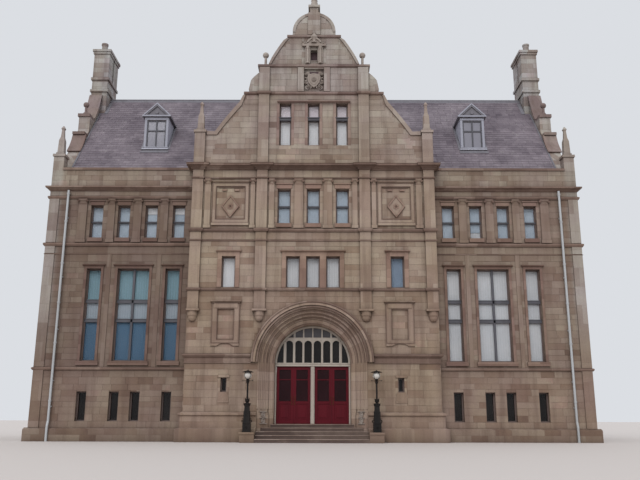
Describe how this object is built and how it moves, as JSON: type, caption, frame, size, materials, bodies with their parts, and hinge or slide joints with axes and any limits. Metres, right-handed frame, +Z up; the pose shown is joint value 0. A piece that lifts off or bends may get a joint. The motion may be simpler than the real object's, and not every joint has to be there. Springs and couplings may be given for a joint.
{
  "type": "town hall building",
  "caption": "Sandstone town hall: gabled frontispiece with an arched entrance between slated wings, tall chimneys on the side gables, hinged entrance doors.",
  "frame": {"origin": "ground level in the middle of the frontage, under the entrance arch in the plane of the wing fronts", "axes": "+X along the frontage, +Y from the street into the building, +Z up"},
  "size_m": [26.42, 12.83, 22.77],
  "materials": {
    "sandstone": "weathered ashlar and squared rubble with worn arrises",
    "slate": "purple-grey slates laid in courses",
    "lead": "dull grey lead ridge",
    "floor_boards": "boarded floors on joists",
    "white_paint": "off-white painted timber",
    "sash_paint": "dark grey painted timber",
    "door_paint": "maroon gloss paint",
    "window_glass": "old plate glass, dull reflection",
    "door_glass": "dark glazing of the doors",
    "lamp_iron": "black painted castings",
    "lamp_glass": "opal globe",
    "pipe_paint": "cream painted castings",
    "step_stone": "worn grey steps"
  },
  "bodies": {
    "building": {"arch_hood": "sandstone", "arch_ring": "sandstone", "back_wall": "sandstone", "chimneys": "sandstone", "cross_roof": "slate", "door_frame": "white_paint", "door_jambs": "sandstone", "dormer_bodies": "white_paint", "dormer_roofs": "lead", "entrance_steps": "step_stone", "fanlight": "white_paint", "first_floors": "floor_boards", "front_courses": "sandstone", "front_pilasters": "sandstone", "front_plinth": "sandstone", "front_wall_upper": "sandstone", "front_walls": "sandstone", "front_window_frames": "sash_paint", "front_window_glass": "window_glass", "gable_carvings": "sandstone", "gable_copings": "sandstone", "gable_finials": "sandstone", "gable_ledges": "sandstone", "gable_upper_stages": "sandstone", "gable_wall": "sandstone", "ground_floor": "floor_boards", "lamp_canopies": "lamp_iron", "lamp_globes": "lamp_glass", "lamp_standards": "lamp_iron", "obelisks": "sandstone", "pedestals": "sandstone", "pilaster_strips": "sandstone", "rainwater_pipes": "pipe_paint", "ridges": "lead", "roof_back": "slate", "roof_front": "slate", "side_walls": "sandstone", "spandrel_wall": "sandstone", "step_piers": "step_stone", "upper_floors": "floor_boards", "wall_copings": "sandstone", "wall_panels": "sandstone", "window_surrounds": "sandstone", "wing_courses": "sandstone", "wing_pilasters": "sandstone", "wing_walls": "sandstone", "wing_window_frames": "sash_paint", "wing_window_glass": "window_glass"},
    "leaf_1": {"door_leaf_1": "door_paint", "door_glass_1": "door_glass"},
    "leaf_2": {"door_leaf_2": "door_paint", "door_glass_2": "door_glass"},
    "leaf_3": {"door_leaf_3": "door_paint", "door_glass_3": "door_glass"},
    "leaf_4": {"door_leaf_4": "door_paint", "door_glass_4": "door_glass"}
  },
  "joints": [
    {"name": "leaf_1_hinge", "type": "hinge", "parent": "building", "child": "leaf_1", "pos_m": [-1.701, 0.569, 2.11], "axis": [0, 0, 1], "range_deg": [0, 90]},
    {"name": "leaf_2_hinge", "type": "hinge", "parent": "building", "child": "leaf_2", "pos_m": [-0.094, 0.569, 2.11], "axis": [0, 0, -1], "range_deg": [0, 90]},
    {"name": "leaf_3_hinge", "type": "hinge", "parent": "building", "child": "leaf_3", "pos_m": [0.094, 0.569, 2.11], "axis": [0, 0, 1], "range_deg": [0, 90]},
    {"name": "leaf_4_hinge", "type": "hinge", "parent": "building", "child": "leaf_4", "pos_m": [1.701, 0.569, 2.11], "axis": [0, 0, -1], "range_deg": [0, 90]}
  ]
}
